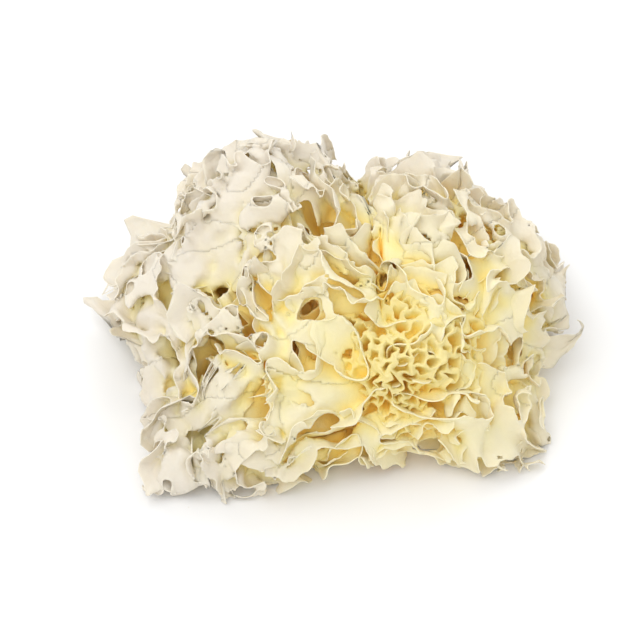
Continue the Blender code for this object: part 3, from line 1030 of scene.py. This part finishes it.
# %% Material
def dried_jelly(name, colours, roughness, specks):
    """The colour ramp over the value of tint and painted glow plus clouds, with a painted highlight that
    makes the thin edges and wall tops paler, rare specks of bark, and fine wrinkles as bump."""
    look = bpy.data.materials.new(name)
    look.use_nodes = True
    tree = look.node_tree
    shader = tree.nodes["Principled BSDF"]
    place = add(tree, "ShaderNodeTexCoord").outputs["Object"]
    # This value of tint and painted glow picks the place on the ramp.
    tint_and_painted_glow = add(tree, "ShaderNodeAttribute", {"attribute_name": "tint_and_painted_glow"}).outputs["Fac"]
    rim = add(tree, "ShaderNodeAttribute", {"attribute_name": "rim"}).outputs["Fac"]
    soft = {"Scale": CLOUDS_PER_METRE, "Detail": 6.0, "Roughness": 0.62}
    clouds = add(tree, "ShaderNodeTexNoise", soft, {"Vector": place})
    cloud = clouds.outputs["Fac"]
    centred = {"operation": "MULTIPLY_ADD", 1: CLOUD_SHARE, 2: -CLOUD_SHARE / 2.0}
    uneven = add(tree, "ShaderNodeMath", centred, {0: cloud})
    share = add(tree, "ShaderNodeMath", {"operation": "ADD"}, {0: tint_and_painted_glow, 1: uneven.outputs[0]})
    ramp = add(tree, "ShaderNodeValToRGB", {}, {"Fac": share.outputs[0]})
    stops = ramp.color_ramp.elements
    while len(stops) < len(colours):
        stops.new(0.5)
    for stop, (position, colour) in zip(stops, colours):
        stop.position = position
        stop.color = linear(colour)
    # Painted highlight: the colour is mixed towards the pale colour along thin edges and wall tops.
    paler = add(tree, "ShaderNodeMath", {"operation": "MULTIPLY", 1: RIM_HIGHLIGHT_SHARE}, {0: rim})
    colour = ramp.outputs["Color"]
    pale, dark = linear(RIM_HIGHLIGHT_COLOUR), linear(SPECK_COLOUR)
    edge = add(tree, "ShaderNodeMix", {"data_type": "RGBA", 7: pale}, {0: paler.outputs[0], 6: colour})
    bark = add(tree, "ShaderNodeTexNoise", {"Scale": SPECKS_PER_METRE, "Detail": 1.0}, {"Vector": place})
    spot = add(tree, "ShaderNodeMapRange", {1: 0.76, 2: 0.80, 4: specks}, {0: bark.outputs["Fac"]})
    colour = edge.outputs[2]
    flecked = add(tree, "ShaderNodeMix", {"data_type": "RGBA", 7: dark}, {0: spot.outputs[0], 6: colour})
    tree.links.new(flecked.outputs[2], shader.inputs["Base Color"])
    fine = {"Scale": WRINKLES_PER_METRE, "Detail": 6.0, "Roughness": 0.65, "Distortion": 0.8}
    wrinkles = add(tree, "ShaderNodeTexNoise", fine, {"Vector": place})
    height = wrinkles.outputs["Fac"]
    relief = {"Strength": WRINKLE_STRENGTH, "Distance": WRINKLE_HEIGHT}
    bump = add(tree, "ShaderNodeBump", relief, {"Height": height})
    tree.links.new(bump.outputs["Normal"], shader.inputs["Normal"])
    shader.inputs["Roughness"].default_value = roughness
    shader.inputs["IOR"].default_value = FILM_IOR
    shader.inputs["Subsurface Weight"].default_value = SCATTERED
    shader.inputs["Subsurface Radius"].default_value = SCATTER_BY_COLOUR
    shader.inputs["Subsurface Scale"].default_value = SCATTER_REACH
    return look


frond_jelly = dried_jelly("dried_frond_jelly", FROND_COLOURS, 0.5, 0.0)
comb_jelly = dried_jelly("dried_comb_jelly", COMB_COLOURS, 0.45, 0.9)
for piece in pieces:
    piece.data.materials.append(frond_jelly)
for piece in (comb, base):
    piece.data.materials.append(comb_jelly)
    pieces.append(piece)
print(len(pieces), "pieces,", triangles(pieces), "triangles in all")

# %% [markdown]
# ## Floor, light and camera
# The head lies on a plain white floor. The light is that of a light tent: nearly the same from
# everywhere, with three large soft boxes, one high in front beside the camera, one behind and one
# above the left side. So the hollows are lit too and the shadow on the floor stays faint. Pale
# film sends most light on, so in the hollows it goes from film to film many times, and each time
# it gets more golden. Twelve bounces keep that light, where the usual four would lose it. The
# camera looks down at 47 degrees, as the face is tilted.

# %% Floor
bpy.ops.mesh.primitive_plane_add(size=8.0, location=(0.0, 0.0, -0.0002))
floor = bpy.context.object
floor.name = "floor"
paint = bpy.data.materials.new("white_board")
paint.use_nodes = True
board = paint.node_tree.nodes["Principled BSDF"]
board.inputs["Base Color"].default_value = linear("#F4F4F4")
board.inputs["Roughness"].default_value = 0.9
floor.data.materials.append(paint)
floor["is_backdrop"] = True
print("floor:", tuple(floor.dimensions))

# %% Light
LIGHT_BOUNCES = 12
TENT_STRENGTH = 0.74
BOX_SIZE = 0.9
world = bpy.data.worlds.new("studio")
bpy.context.scene.world = world
world.use_nodes = True
tent = world.node_tree.nodes["Background"]
tent.inputs["Color"].default_value = (1.0, 1.0, 1.0, 1.0)
tent.inputs["Strength"].default_value = TENT_STRENGTH


def soft_box(name, place, watts):
    """A square lamp at this place, turned to look at the origin."""
    lamp = bpy.data.lights.new(name, "AREA")
    lamp.size = BOX_SIZE
    lamp.energy = watts
    held = bpy.data.objects.new(name, lamp)
    held.location = place
    held.rotation_euler = (-Vector(place)).to_track_quat("-Z", "Y").to_euler()
    bpy.context.scene.collection.objects.link(held)


soft_box("front_box", (-0.15, -0.80, 0.95), 3.2)
soft_box("back_box", (0.30, 0.85, 0.85), 4.0)
soft_box("top_box", (-0.55, -0.10, 1.10), 4.8)
bpy.context.scene.view_settings.view_transform = "Standard"
bpy.context.scene.cycles.diffuse_bounces = LIGHT_BOUNCES
print("lamps:", [item.name for item in bpy.data.lights])

# %% Camera
PIXEL_MM = 0.327
DISTANCE = 0.85
lens = bpy.data.cameras.new("camera")
lens.sensor_width = 36.0
lens.lens = 36.0 * DISTANCE / (640.0 * PIXEL_MM * MM)
camera = bpy.data.objects.new("camera", lens)
bpy.context.scene.collection.objects.link(camera)
aim = CORE + SHIFT + RIGHT * ((320.0 - 392.0) * PIXEL_MM) + UP * ((365.0 - 320.0) * PIXEL_MM)
camera.location = (aim + FACE * DISTANCE * 1000.0) * MM
camera.rotation_euler = Vector(-FACE).to_track_quat("-Z", "Y").to_euler()
bpy.context.scene.camera = camera
print("lens:", round(lens.lens, 1), "mm")

# %% [markdown]
# ## Sizes and finish
# The last cell prints the box round the dressed head beside the plain model's, and hands the scene over.

# %% Sizes and finish
dressed_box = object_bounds()
as_lists = [[list(corner) for corner in box] for box in (plain_box, dressed_box)]
print("plain", as_lists[0], "dressed", as_lists[1])
